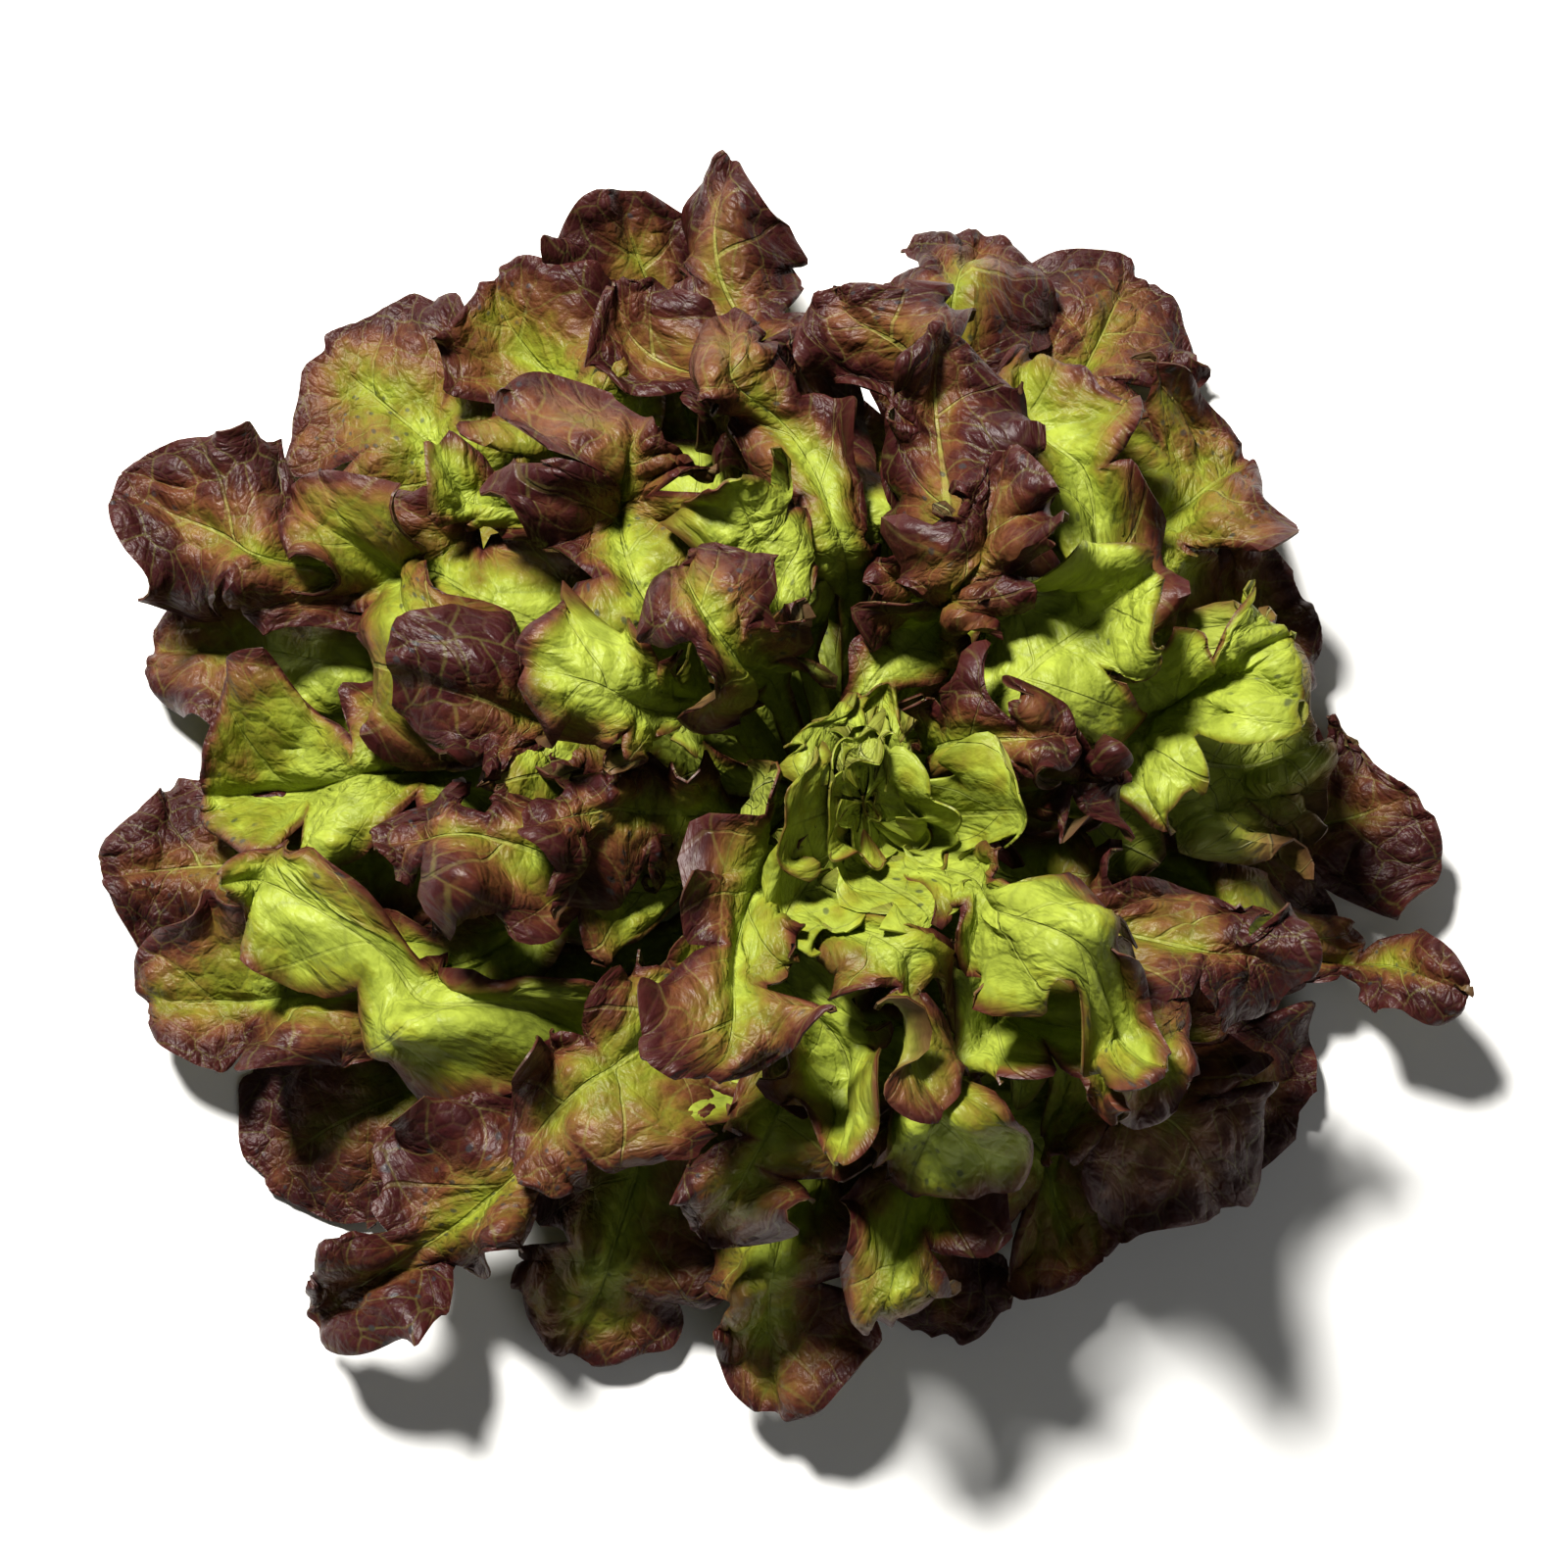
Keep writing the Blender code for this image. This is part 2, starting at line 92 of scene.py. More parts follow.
# Metres, and shares of a leaf's length. A pair of numbers is for the rim and the heart
leafForm = {
    "seed": 7900, "noiseSeed": 300, "seedStep": 7, "sideRows": (3.0, 11.0), "noiseShift": 9.5,
    "rows": (52, 96), "columns": 38, "longLeaf": 0.16,     # rows for a short and a long leaf
    "rowCrowding": 1.25, "marginCrowding": 0.30, "smoothAngle": math.radians(50),
    "ribThickness": 0.0034, "ribWidths": (0.0030, 0.0012), "ribThinning": 0.82,
    "bladeThickness": 0.0006,

    # the outline: a stalk, lobes with notches between them, and a round tip
    "stalkHalfWidth": 0.0052, "stalkNarrowing": 0.6, "spreadStart": 0.10, "spreadLength": 0.46,
    "tipStart": 0.76, "tipLength": 0.246, "lastNotch": 0.77, "notchSpacing": 0.235,
    "lobeRoundness": 2.2, "notchStop": 0.92, "notchFade": 0.08, "notchDepths": (0.50, 0.68),
    "notchShifts": ((-0.05, 0.02), (0.00, 0.07)), "notchDeepen": (1.05, 1.28),
    "bladeStart": 0.12, "bladeLength": 0.4, "tipFade": 0.24,
    "scallop": 0.05, "scallopLength": 0.0125, "scallopWander": 2.0, "ragged": 0.045,
    "raggedLength": 0.0052, "wobbleLength": 0.02,
    "cutDepth": (0.05, 0.30), "cutSpacing": (0.018, 0.0125), "cutWander": 1.6, "cutRow": 20.0,

    # the course of the leaf, and how it bends between the layers
    "lobeSweep": 0.34, "sweepFade": 0.30, "hookStart": 0.45, "leastOpening": 0.10, "rowTurn": 0.65,
    "waveSteps": (4.6, 1.2), "wave": 0.55, "waveRate": 0.62, "wavePower": 1.3,
    "curlSteps": (2.6, 1.0), "curlStart": 0.68, "curlLength": 0.34,
    "cups": (-0.15, 0.30), "twists": (-0.25, 0.25),

    # relief: lobes lifted, twisted and rolled, folds, frills and blisters
    "lobeLift": (0.0055, 0.0150), "lobeTwist": (0.0110, 0.0210),
    "crumple": 0.0042, "crumpleSize": (0.017, 0.0120), "crease": 0.0014, "creaseSize": 0.008,
    "rollShare": 0.50, "rollTurn": (1.0, 0.9), "rollBias": -0.10,
    "tipShare": 0.28, "tipSpread": 0.35, "innerTipRoll": 0.35,
    "frill": (0.0026, 0.0066), "frillLength": (0.0150, 0.0130), "notchFrill": 0.35,
    "frillWander": 2.5, "wanderLength": 0.021, "tipFrill": 0.3, "frillFade": 0.12,
    "blister": 0.0014, "blisterSize": 0.0080, "smallBlister": 0.0005, "smallBlisters": 2.3,
    "quilt": 0.0008, "veinSlant": 0.32, "groove": 0.0010, "grooveWidth": 0.0020,
    "smoothMiddle": 0.004, "puffShares": (0.7, 0.3), "floorRounding": 2.5, "floorGap": 0.0004,
}


def mix(low, high, share):
    return low + (high - low) * share


def smoothStep(value):
    value = np.clip(value, 0.0, 1.0)
    return value * value * (3.0 - 2.0 * value)


def softNoise(x, y, seed):     # smooth noise from -1 to 1, one bump per unit
    table = np.random.RandomState(seed).uniform(-1.0, 1.0, (64, 64))
    column = np.floor(x).astype(int)
    row = np.floor(y).astype(int)
    across = smoothStep(x - column)
    up = smoothStep(y - row)
    low = mix(table[row % 64, column % 64], table[row % 64, (column + 1) % 64], across)
    high = mix(table[(row + 1) % 64, column % 64], table[(row + 1) % 64, (column + 1) % 64], across)
    return mix(low, high, up)


def blisterNoise(x, y, seed):     # crowded domes about one unit wide: 0 in the creases, 1 on top
    table = np.random.RandomState(seed).uniform(0.1, 0.9, (64, 64, 2))
    column = np.floor(x).astype(int)
    row = np.floor(y).astype(int)
    nearest = np.full(x.shape, 9.0)
    second = np.full(x.shape, 9.0)
    for step in range(9):
        cellColumn = column + step % 3 - 1
        cellRow = row + step // 3 - 1
        middle = table[cellRow % 64, cellColumn % 64]
        gap = np.hypot(cellColumn + middle[..., 0] - x, cellRow + middle[..., 1] - y)
        second = np.minimum(second, np.maximum(nearest, gap))
        nearest = np.minimum(nearest, gap)
    return np.minimum(1.0, 1.5 * (second - nearest)) ** 0.7


def surfaceAngle(layer, distance):
    root = mix(*headForm["rootAngles"], layer)
    rise = mix(np.maximum(0.0, layer) ** headForm["innerRisePower"], layer, headForm["rimRise"])
    tip = mix(*headForm["tipAngles"], rise)
    arch = mix(root, tip, smoothStep((distance - headForm["stemRadius"]) / headForm["archLength"]))
    drop = smoothStep((distance - headForm["droopStart"]) / headForm["droopLength"])
    return arch * (1.0 - headForm["droop"] * drop)


def headPoint(azimuth, angle, distance):
    flat = distance * np.cos(angle)
    height = distance * np.sin(angle)
    height = 0.5 * (height + np.hypot(height, headForm["floorClearance"] * 2.0))
    lean = np.maximum(0.0, height - headForm["leanStart"]) ** 2
    x = flat * np.cos(azimuth) + headForm["lean"][0] * lean
    y = flat * np.sin(azimuth) + headForm["lean"][1] * lean
    return np.stack([x, y, height], axis=-1)


def arcEnd(length, turn):     # where an arc of this length and turn ends, ahead and aside
    turn = np.where(np.abs(turn) < 1e-6, 1e-6, turn)
    return length * np.sin(turn) / turn, length * (1.0 - np.cos(turn)) / turn


def opening(layer, distance):     # an angle in the leaf over this is a turn round the stem
    return np.cos(surfaceAngle(layer, distance)) + leafForm["leastOpening"]


def leafPlan(order):     # one leaf's place, size and draws, in the solids' own order
    draw = random.Random(leafForm["seed"] + order)
    tip, reach, halfWidth, hook, redness, tipRoll = leafRows[order]
    layer = order / (leafCount - 1)
    inner = max(0, order - len(outerLeaves) + 1) / len(innerLeaves)
    kind, number = ("inner", order - len(outerLeaves) + 1) if inner else ("outer", order + 1)
    tipSize = leafForm["innerTipRoll"] if inner else 1.0
    leaf = {
        "order": order, "inner": inner, "layer": layer, "halfWidth": halfWidth, "redness": redness,
        "node": f"{kind}_leaf_{number:02d}", "piece": f"{kind}Leaf{number:02d}",
        "hook": math.radians(hook),
    }
    rootAngle = float(surfaceAngle(layer, headForm["stemRadius"]))
    clearance = headForm["gap"] + leafForm["ribThickness"] / 2 * math.sin(rootAngle)
    narrowing = math.cos(rootAngle) + headForm["stemTaper"] * math.sin(rootAngle)
    leaf["root"] = (headForm["stemRadius"] + clearance) / narrowing
    distance = reach
    for _ in range(60):     # the distance in the leaf's own surface that reaches so far across
        distance = mix(distance, reach / float(np.cos(surfaceAngle(layer, distance))), 0.4)
    ahead, aside = arcEnd(1.0 - leafForm["hookStart"], leaf["hook"])
    leaf["length"] = (distance - leaf["root"]) / math.hypot(leafForm["hookStart"] + ahead, aside)
    ahead = leaf["root"] + leaf["length"] * (leafForm["hookStart"] + ahead)
    leaf["azimuth"] = headForm["firstAzimuth"] + order * headForm["goldenAngle"]
    tipTurn = math.atan2(leaf["length"] * aside, ahead) / float(opening(layer, distance))
    turn = math.radians(tip) - tipTurn - leaf["azimuth"]
    leaf["sway"] = (turn + math.pi) % math.tau - math.pi
    deepen = mix(*leafForm["notchDeepen"], layer)
    leaf["notchDepth"] = draw.uniform(*leafForm["notchDepths"]) * deepen
    leaf["notchShift"] = [draw.uniform(*shifts) for shifts in leafForm["notchShifts"]]
    leaf["wave"] = mix(*leafForm["waveSteps"], layer) / (leafCount - 1)
    leaf["waveTurn"] = (draw.uniform(0, math.tau), draw.uniform(0, math.tau))
    leaf["cup"] = draw.uniform(*leafForm["cups"])
    leaf["twist"] = draw.uniform(*leafForm["twists"])
    leaf["curl"] = mix(*leafForm["curlSteps"], layer) / (leafCount - 1) * draw.uniform(-1.0, 1.0)
    leaf["tipRoll"] = tipRoll * tipSize + leafForm["tipSpread"] * draw.uniform(-1.0, 1.0)
    return leaf


def bladeHalfWidth(leaf, along, shift):
    spread = smoothStep((along - leafForm["spreadStart"]) / leafForm["spreadLength"])
    tipShare = np.maximum(0.0, along - leafForm["tipStart"]) / leafForm["tipLength"]
    rounding = np.sqrt(np.maximum(0.0, 1.0 - tipShare ** 2))
    phase = (leafForm["lastNotch"] + shift - along) / leafForm["notchSpacing"]
    fromLobe = 2.0 * np.abs(phase + 0.5 - np.round(phase + 0.5))     # 0 in a lobe, 1 in a notch
    notch = 1.0 - np.sqrt(1.0 - fromLobe ** leafForm["lobeRoundness"])
    notch = notch * smoothStep((leafForm["notchStop"] - along) / leafForm["notchFade"])
    blade = leaf["halfWidth"] * spread * rounding * (1.0 - leaf["notchDepth"] * notch)
    stalk = leafForm["stalkHalfWidth"] * (1.0 - leafForm["stalkNarrowing"] * along)
    return np.maximum(stalk, blade)


# From the leaf's flat plan to its place in the head
def sheetPoint(leaf, layer, along, aside, ahead):
    straight = leaf["length"] * leafForm["hookStart"]
    past = np.maximum(0.0, ahead - leaf["root"] - straight)
    turn = leaf["hook"] * past / (leaf["length"] - straight)
    arcAhead, arcAside = arcEnd(past, turn)
    swayRate = leaf["sway"] * 6.0 * along * (1.0 - along)     # smoothStep's own slope
    swayRate = swayRate * opening(leaf["layer"], ahead) * ahead / leaf["length"]
    rowTurn = leafForm["rowTurn"] * np.arctan(swayRate) * smoothStep(along / 0.3)
    turn = turn + rowTurn     # rows stay square to a swaying midrib
    x = ahead - past + arcAhead - aside * np.sin(turn)
    y = arcAside + aside * np.cos(turn)
    distance = np.hypot(x, y)
    azimuth = leaf["azimuth"] + leaf["sway"] * smoothStep(along)
    azimuth = azimuth + np.arctan2(y, x) / opening(leaf["layer"], distance)
    return headPoint(azimuth, surfaceAngle(layer, distance), distance)


def topNormals(points):     # the side that faces up, or inward in the heart
    normals = np.cross(np.gradient(points, axis=1), np.gradient(points, axis=0))
    return normals / np.linalg.norm(normals, axis=-1, keepdims=True)


def rollOver(place, start, end, turn):     # bends what lies past start round an arc
    reach = np.maximum(end - start, 0.0005)
    past = np.maximum(0.0, place - start)
    turn = np.where(np.abs(turn) < 0.05, 0.05, turn)
    radius = reach / turn / np.maximum(0.7, np.sin(turn) / turn)     # longer, to keep the outline
    turned = turn * past / reach
    return np.minimum(place, start) + radius * np.sin(turned), radius * (1.0 - np.cos(turned))


# Long waves through the whole head, in x, y and z: strength, turns a centimetre along x, y and z,
# and start. They are the same for every leaf, so stacked leaves keep their order
swellForm = {
    "size": 0.0075, "floorRoom": 0.028,
    "waves": (
        ((0.45, 1.2, -0.7, 0.9, 1.0),),
        ((0.45, -0.6, 1.1, 0.8, 0.0),),
        ((0.60, 1.35, 0.55, 0.9, 0.6), (0.60, -0.50, 1.45, 0.7, 2.1), (0.48, 1.05, -1.30, 1.1, 4.0)),
    ),
}


def sharedSwell(points):
    x, y, z = (points[..., axis] * 100 for axis in range(3))
    shift = [sum(strength * np.sin(byX * x + byY * y + byZ * z + start)
                 for strength, byX, byY, byZ, start in waves) for waves in swellForm["waves"]]
    room = smoothStep(points[..., 2] / swellForm["floorRoom"])[..., None] * swellForm["size"]
    return points + np.stack(shift, axis=-1) * room


def bladeSurface(leaf, along, across):     # points, and what the shader reads
    seed = leafForm["noiseSeed"] + leaf["order"] * leafForm["seedStep"]
    right = across >= 0
    edge = np.abs(across)
    shift = np.where(right, leaf["notchShift"][1], leaf["notchShift"][0])
    turnStart = np.where(right, leaf["waveTurn"][1], leaf["waveTurn"][0])
    sideRow = np.where(right, *leafForm["sideRows"])
    openBlade = smoothStep((along - leafForm["bladeStart"]) / leafForm["bladeLength"])
    arc = along * leaf["length"]
    phase = (leafForm["lastNotch"] + shift - along) / leafForm["notchSpacing"]
    lobePlace = phase + 20.5     # whole numbers at the middle of each lobe
    lobeShare = lobePlace - np.round(lobePlace)
    inLobe = smoothStep(1.3 - 2.6 * np.abs(lobeShare))     # 1 within a lobe, 0 in the notches

    # the margin: scallops, a ragged edge and small cuts
    half = bladeHalfWidth(leaf, along, shift)
    wobble = arc / leafForm["wobbleLength"]
    scallopTurn = math.tau * arc / leafForm["scallopLength"] + turnStart * 5.0
    scallop = np.sin(scallopTurn + leafForm["scallopWander"] * softNoise(wobble, sideRow, seed))
    ragged = softNoise(arc / leafForm["raggedLength"], sideRow, seed + 1)
    openEdge = openBlade * smoothStep((1.0 - along) / leafForm["tipFade"])
    uneven = leafForm["scallop"] * scallop + leafForm["ragged"] * ragged
    half = half * (1.0 + uneven * openEdge * edge ** 8)
    cutTurn = math.pi * arc / mix(*leafForm["cutSpacing"], leaf["layer"]) + turnStart * 3.0
    cutWander = leafForm["cutWander"] * softNoise(wobble, sideRow + leafForm["cutRow"], seed)
    cut = 1.0 - np.sqrt(np.abs(np.sin(cutTurn + cutWander)))
    half = half * (1.0 - mix(*leafForm["cutDepth"], leaf["layer"]) * cut * openEdge * edge)
    aside = across * half
    sweep = leafForm["lobeSweep"] * smoothStep(along / 0.3)
    sweep = sweep * smoothStep((1.0 - along) / leafForm["sweepFade"])
    ahead = leaf["root"] + arc + sweep * np.abs(aside)

    # bends between the layers, which grow towards the margin
    lobeTurn = math.tau * along / leafForm["notchSpacing"] * leafForm["waveRate"] + turnStart
    reachOut = np.abs(aside) / leaf["halfWidth"]
    wave = np.sin(lobeTurn) * leafForm["wave"] * reachOut ** leafForm["wavePower"]
    bend = leaf["cup"] * reachOut ** 2 + leaf["twist"] * aside / leaf["halfWidth"] * along
    curl = leaf["curl"] * smoothStep((along - leafForm["curlStart"]) / leafForm["curlLength"])
    curl = curl * (1.0 - 0.4 * edge)
    layer = leaf["layer"] + openBlade * leaf["wave"] * (wave + bend) + curl
    outward = topNormals(sheetPoint(leaf, layer, along, aside, ahead))

    # margins and tip rolled over or under, another way at each lobe
    rollTurn = mix(*leafForm["rollTurn"], leaf["inner"] > 0)
    rollTurn = rollTurn * softNoise(lobePlace, sideRow, seed + 2) + leafForm["rollBias"]
    rollTurn = rollTurn * openBlade * inLobe
    rollStart = half * (1.0 - leafForm["rollShare"])
    flatAside, sideLift = rollOver(np.abs(aside), rollStart, half, rollTurn)
    leafEnd = leaf["root"] + leaf["length"]
    tipStart = leaf["root"] + leaf["length"] * (1.0 - leafForm["tipShare"])
    flatAhead, tipLift = rollOver(ahead, tipStart, leafEnd, leaf["tipRoll"])
    points = sheetPoint(leaf, layer, along, np.sign(across) * flatAside, flatAhead)

    # lobes lifted and twisted
    flatEdge = (flatAside / leaf["halfWidth"]) ** 1.5 * inLobe
    lift = mix(*leafForm["lobeLift"], leaf["layer"]) * softNoise(lobePlace, sideRow, seed + 3)
    twist = mix(*leafForm["lobeTwist"], leaf["layer"]) * softNoise(lobePlace, sideRow, seed + 4)
    lift = (lift + 0.5 * twist * np.sin(lobeShare * math.tau)) * flatEdge
    points = points + outward * ((lift + sideLift) * openBlade)[..., None]
    midrib = outward.shape[1] // 2     # the whole tip rolls with the midrib
    points = points + outward[:, midrib:midrib + 1] * tipLift[..., None]

    # the blade crumpled and its edge frilled
    size = mix(*leafForm["crumpleSize"], leaf["layer"])
    noiseShift = leafForm["noiseShift"]
    crumple = leafForm["crumple"] * softNoise(aside / size + noiseShift, ahead / size, seed + 5)
    size = leafForm["creaseSize"]
    crease = leafForm["crease"] * softNoise(aside / size + noiseShift, ahead / size, seed + 6)
    frillTurn = math.tau * arc / mix(*leafForm["frillLength"], leaf["layer"]) + turnStart * 3.0
    wander = softNoise(arc / leafForm["wanderLength"], sideRow, seed)
    frillTurn = frillTurn + leafForm["frillWander"] * wander
    frill = mix(*leafForm["frill"], leaf["layer"]) * np.sin(frillTurn) * edge ** 2.0 * reachOut
    frill = frill * mix(leafForm["notchFrill"], 1.0, inLobe)
    beforeTip = smoothStep((1.0 - along) / leafForm["frillFade"])
    frill = frill * mix(leafForm["tipFrill"], 1.0, beforeTip)
    relief = (crumple + crease + frill) * openBlade
    points = sharedSwell(points + topNormals(points) * relief[..., None])

    # blisters between the veins and the groove of the midrib
    size = leafForm["blisterSize"]
    finer = leafForm["smallBlisters"]
    puff = blisterNoise(aside / size + noiseShift, ahead / size, seed + 5)
    smallPuff = blisterNoise(aside * finer / size + noiseShift, ahead * finer / size, seed + 6)
    quilt = np.abs(np.sin(math.tau * (phase + leafForm["veinSlant"] * edge))) ** 0.8
    relief = leafForm["quilt"] * quilt + leafForm["blister"] * puff
    relief = relief + leafForm["smallBlister"] * smallPuff
    relief = relief * openBlade * (1.0 - 0.8 * edge ** 6)
    relief = relief * smoothStep(np.abs(aside) / leafForm["smoothMiddle"])
    groove = leafForm["groove"] * np.exp(-(aside / leafForm["grooveWidth"]) ** 2)
    relief = relief - groove * openBlade
    points = points + topNormals(points) * relief[..., None]
    low = headForm["floorClearance"] * leafForm["floorRounding"]     # nothing goes through the floor
    points[..., 2] = 0.5 * (points[..., 2] + np.hypot(points[..., 2], low)) + leafForm["floorGap"]

    marginGap = np.minimum((1.0 - edge) * half, (1.0 - along) * leaf["length"])
    rib = np.exp(-(aside / mix(*leafForm["ribWidths"], along)) ** 2)
    rib = rib * (1.0 - leafForm["ribThinning"] * smoothStep(along / 0.8))
    puffShare, smallShare = leafForm["puffShares"]
    veins = [np.stack([(leafForm["lastNotch"] + side - along) / leafForm["notchSpacing"]
                       + leafForm["veinSlant"] * edge, np.abs(aside) * mapScale], axis=-1)
             for side in leaf["notchShift"]]
    return {
        "points": points, "blade": np.stack([aside, ahead], axis=-1) * mapScale, "veins": veins,
        "marginGap": marginGap, "rib": rib, "puff": puffShare * puff + smallShare * smallPuff,
        "turned": float(leaf["order"] in turnedLeaves),
        "redness": rednessAt(leaf, points, along, across, marginGap, lobePlace, sideRow),
    }


# Where the head shows green, and where dark red: x, y and radius in metres, and strength
colourSpots = [
    (0.056, 0.034, 0.034, -0.85), (0.040, -0.066, 0.034, -0.85), (0.011, -0.002, 0.030, -0.75),
    (-0.007, 0.058, 0.022, -0.80), (-0.127, -0.029, 0.022, -0.85), (-0.133, 0.020, 0.022, -0.60),
    (-0.055, 0.021, 0.014, -0.85), (-0.090, 0.077, 0.013, -0.80), (-0.104, -0.060, 0.014, -0.60),
    (-0.045, -0.047, 0.018, -0.65), (-0.012, -0.048, 0.018, -0.45), (0.028, 0.121, 0.011, -0.75),
    (-0.103, 0.104, 0.010, -0.75), (-0.047, 0.129, 0.009, -0.75), (0.068, 0.083, 0.018, -0.55),
    (0.093, 0.026, 0.024, -0.50), (-0.020, 0.010, 0.020, -0.35), (0.010, -0.100, 0.016, -0.35),
    (0.029, 0.066, 0.019, 0.75), (0.056, -0.009, 0.018, 0.85), (-0.081, 0.027, 0.016, 0.45),
    (-0.057, 0.070, 0.024, 0.35), (-0.098, -0.003, 0.014, 0.40), (-0.059, -0.003, 0.012, 0.50),
    (-0.030, -0.040, 0.012, 0.40), (-0.057, -0.076, 0.018, 0.35), (0.086, -0.066, 0.014, 0.45),
]

leafColour = {     # how much redder or greener each place of a leaf is
    "lobeSeed": 700, "brownSeed": 800, "lobeSpread": 0.40, "spots": 0.30, "edgeRed": 0.50,
    "tipRed": 0.32, "marginRed": 0.22, "marginReach": 0.0035, "thinMarginRed": 0.55,
    "baseGreen": 0.50, "ribGreen": 0.24, "ribReach": 0.22, "range": (-0.1, 1.2),
}


def rednessAt(leaf, points, along, across, marginGap, lobePlace, sideRow):
    edge = np.abs(across)
    lobeNoise = softNoise(lobePlace, sideRow, leafColour["lobeSeed"] + leaf["order"])
    red = leaf["redness"] + leafColour["lobeSpread"] * lobeNoise * edge
    red = red + leafColour["edgeRed"] * (edge - 0.55)
    for x, y, radius, strength in colourSpots:
        gap = ((points[..., 0] - x) ** 2 + (points[..., 1] - y) ** 2) / radius ** 2
        red = red + leafColour["spots"] * strength * np.exp(-gap)
    red = red + leafColour["tipRed"] * (smoothStep((along - 0.45) / 0.5) - 0.75)
    red = red + leafColour["marginRed"] * np.exp(-marginGap / leafColour["marginReach"])
    brownNoise = softNoise(lobePlace * 1.7, sideRow, leafColour["brownSeed"] + leaf["order"])
    brown = np.clip(0.6 + 0.8 * brownNoise, 0.0, 1.0)
    red = red + leafColour["thinMarginRed"] * brown * np.exp(-marginGap / marginWidth)
    ribShare = np.exp(-(across / leafColour["ribReach"]) ** 2) * smoothStep((1.0 - along) / 0.25)
    red = red - leafColour["ribGreen"] * ribShare
    baseShare = (1.0 - smoothStep((along - 0.25) / 0.40)) * (1.0 - 0.4 * edge)
    return np.clip(red - leafColour["baseGreen"] * baseShare, *leafColour["range"])


def deselectAll():
    for obj in bpy.context.selected_objects:
        obj.select_set(False)


def flatGrid(name, columns, rows):     # a unit grid, its points as rows of the blade
    deselectAll()
    bpy.ops.mesh.primitive_grid_add(x_subdivisions=columns, y_subdivisions=rows, size=1.0,
                                    calc_uvs=True)
    sheet = bpy.context.active_object
    sheet.name = name
    sheet.data.name = name
    flat = np.empty(len(sheet.data.vertices) * 3, np.float32)
    sheet.data.vertices.foreach_get("co", flat)
    flat = flat.reshape(-1, 3)
    places = np.lexsort((flat[:, 0].round(5), flat[:, 1].round(5)))
    return sheet, flat, places


def addPointValue(sheet, name, values):
    made = sheet.data.attributes.new(name, "FLOAT", "POINT")
    made.data.foreach_set("value", np.asarray(values, np.float32).ravel())


# Each point has two places on this map, one for the faces on its left and one for the right
def cornerMap(sheet, name, faceRight, values):
    left, right = values
    layer = sheet.data.uv_layers.new(name=name)
    corners = np.empty(len(sheet.data.loops), np.int32)
    sheet.data.loops.foreach_get("vertex_index", corners)
    chosen = np.where(np.repeat(faceRight, 4)[:, None], right[corners], left[corners])
    layer.uv.foreach_set("vector", chosen.astype(np.float32).ravel())


def thicken(sheet, ribShares, thick, thin):
    group = sheet.vertex_groups.new(name="rib")
    for index, share in enumerate(ribShares):
        group.add([index], float(share), "REPLACE")
    solid = sheet.modifiers.new("thickness", "SOLIDIFY")
    solid.thickness = thick
    solid.offset = 0.0
    solid.vertex_group = "rib"
    solid.thickness_vertex_group = thin / thick
    bpy.context.view_layer.objects.active = sheet
    bpy.ops.object.modifier_apply(modifier="thickness")
    sheet.vertex_groups.clear()


def makeBlade(name, rows, columns, crowding, surfaceOf, thick, thin):
    sheet, flat, places = flatGrid(name, columns, rows)
    shape = (rows + 1, columns + 1)
    along = (1.0 - (0.5 - flat[places, 1]).clip(0, 1) ** crowding).reshape(shape).astype(float)
    across = (flat[places, 0] * -2.0).reshape(shape).astype(float)     # from 1 on the right to -1
    across = across * (1.0 + leafForm["marginCrowding"] * (1.0 - across ** 2))
    surface = surfaceOf(along, across)

    def byPoint(values):     # from the blade's rows back to the grid's own order
        ordered = np.empty((len(places),) + values.shape[2:], np.float32)
        ordered[places] = values.reshape((-1,) + values.shape[2:])
        return ordered

    middles = np.empty(len(sheet.data.polygons) * 3, np.float32)
    sheet.data.polygons.foreach_get("center", middles)
    onRight = middles.reshape(-1, 3)[:, 0] < 0
    blade = byPoint(surface["blade"])
    cornerMap(sheet, "blade", onRight, (blade, blade))
    cornerMap(sheet, "veins", onRight, [byPoint(side) for side in surface["veins"]])
    addPointValue(sheet, "redness", byPoint(surface["redness"]))
    addPointValue(sheet, "margin", byPoint(np.exp(-surface["marginGap"] / marginWidth)))
    addPointValue(sheet, "along", byPoint(along))
    addPointValue(sheet, "puff", byPoint(surface["puff"]))
    sheet.data.vertices.foreach_set("co", byPoint(surface["points"]).ravel())
    sheet.data.update()
    topCount = len(sheet.data.vertices)
    thicken(sheet, byPoint(surface["rib"]), thick, thin)
    under = np.ones(len(sheet.data.vertices), np.float32)
    under[:topCount] = surface.get("turned", 0.0)     # the first half of the points is the top
    addPointValue(sheet, "under", under)
    return sheet


def finishPiece(piece, material, smoothAngle, node):
    piece.data.materials.clear()
    piece.data.materials.append(material)
    bpy.ops.object.shade_smooth_by_angle(angle=smoothAngle)
    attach(piece, "root")
    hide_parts(node)


def makeLeaf(leaf, material):
    rows = round(mix(*leafForm["rows"], min(1.0, leaf["length"] / leafForm["longLeaf"])))
    sheet = makeBlade(leaf["piece"], rows, leafForm["columns"], leafForm["rowCrowding"],
                      lambda along, across: bladeSurface(leaf, along, across),
                      leafForm["ribThickness"], leafForm["bladeThickness"])
    finishPiece(sheet, material, leafForm["smoothAngle"], leaf["node"])


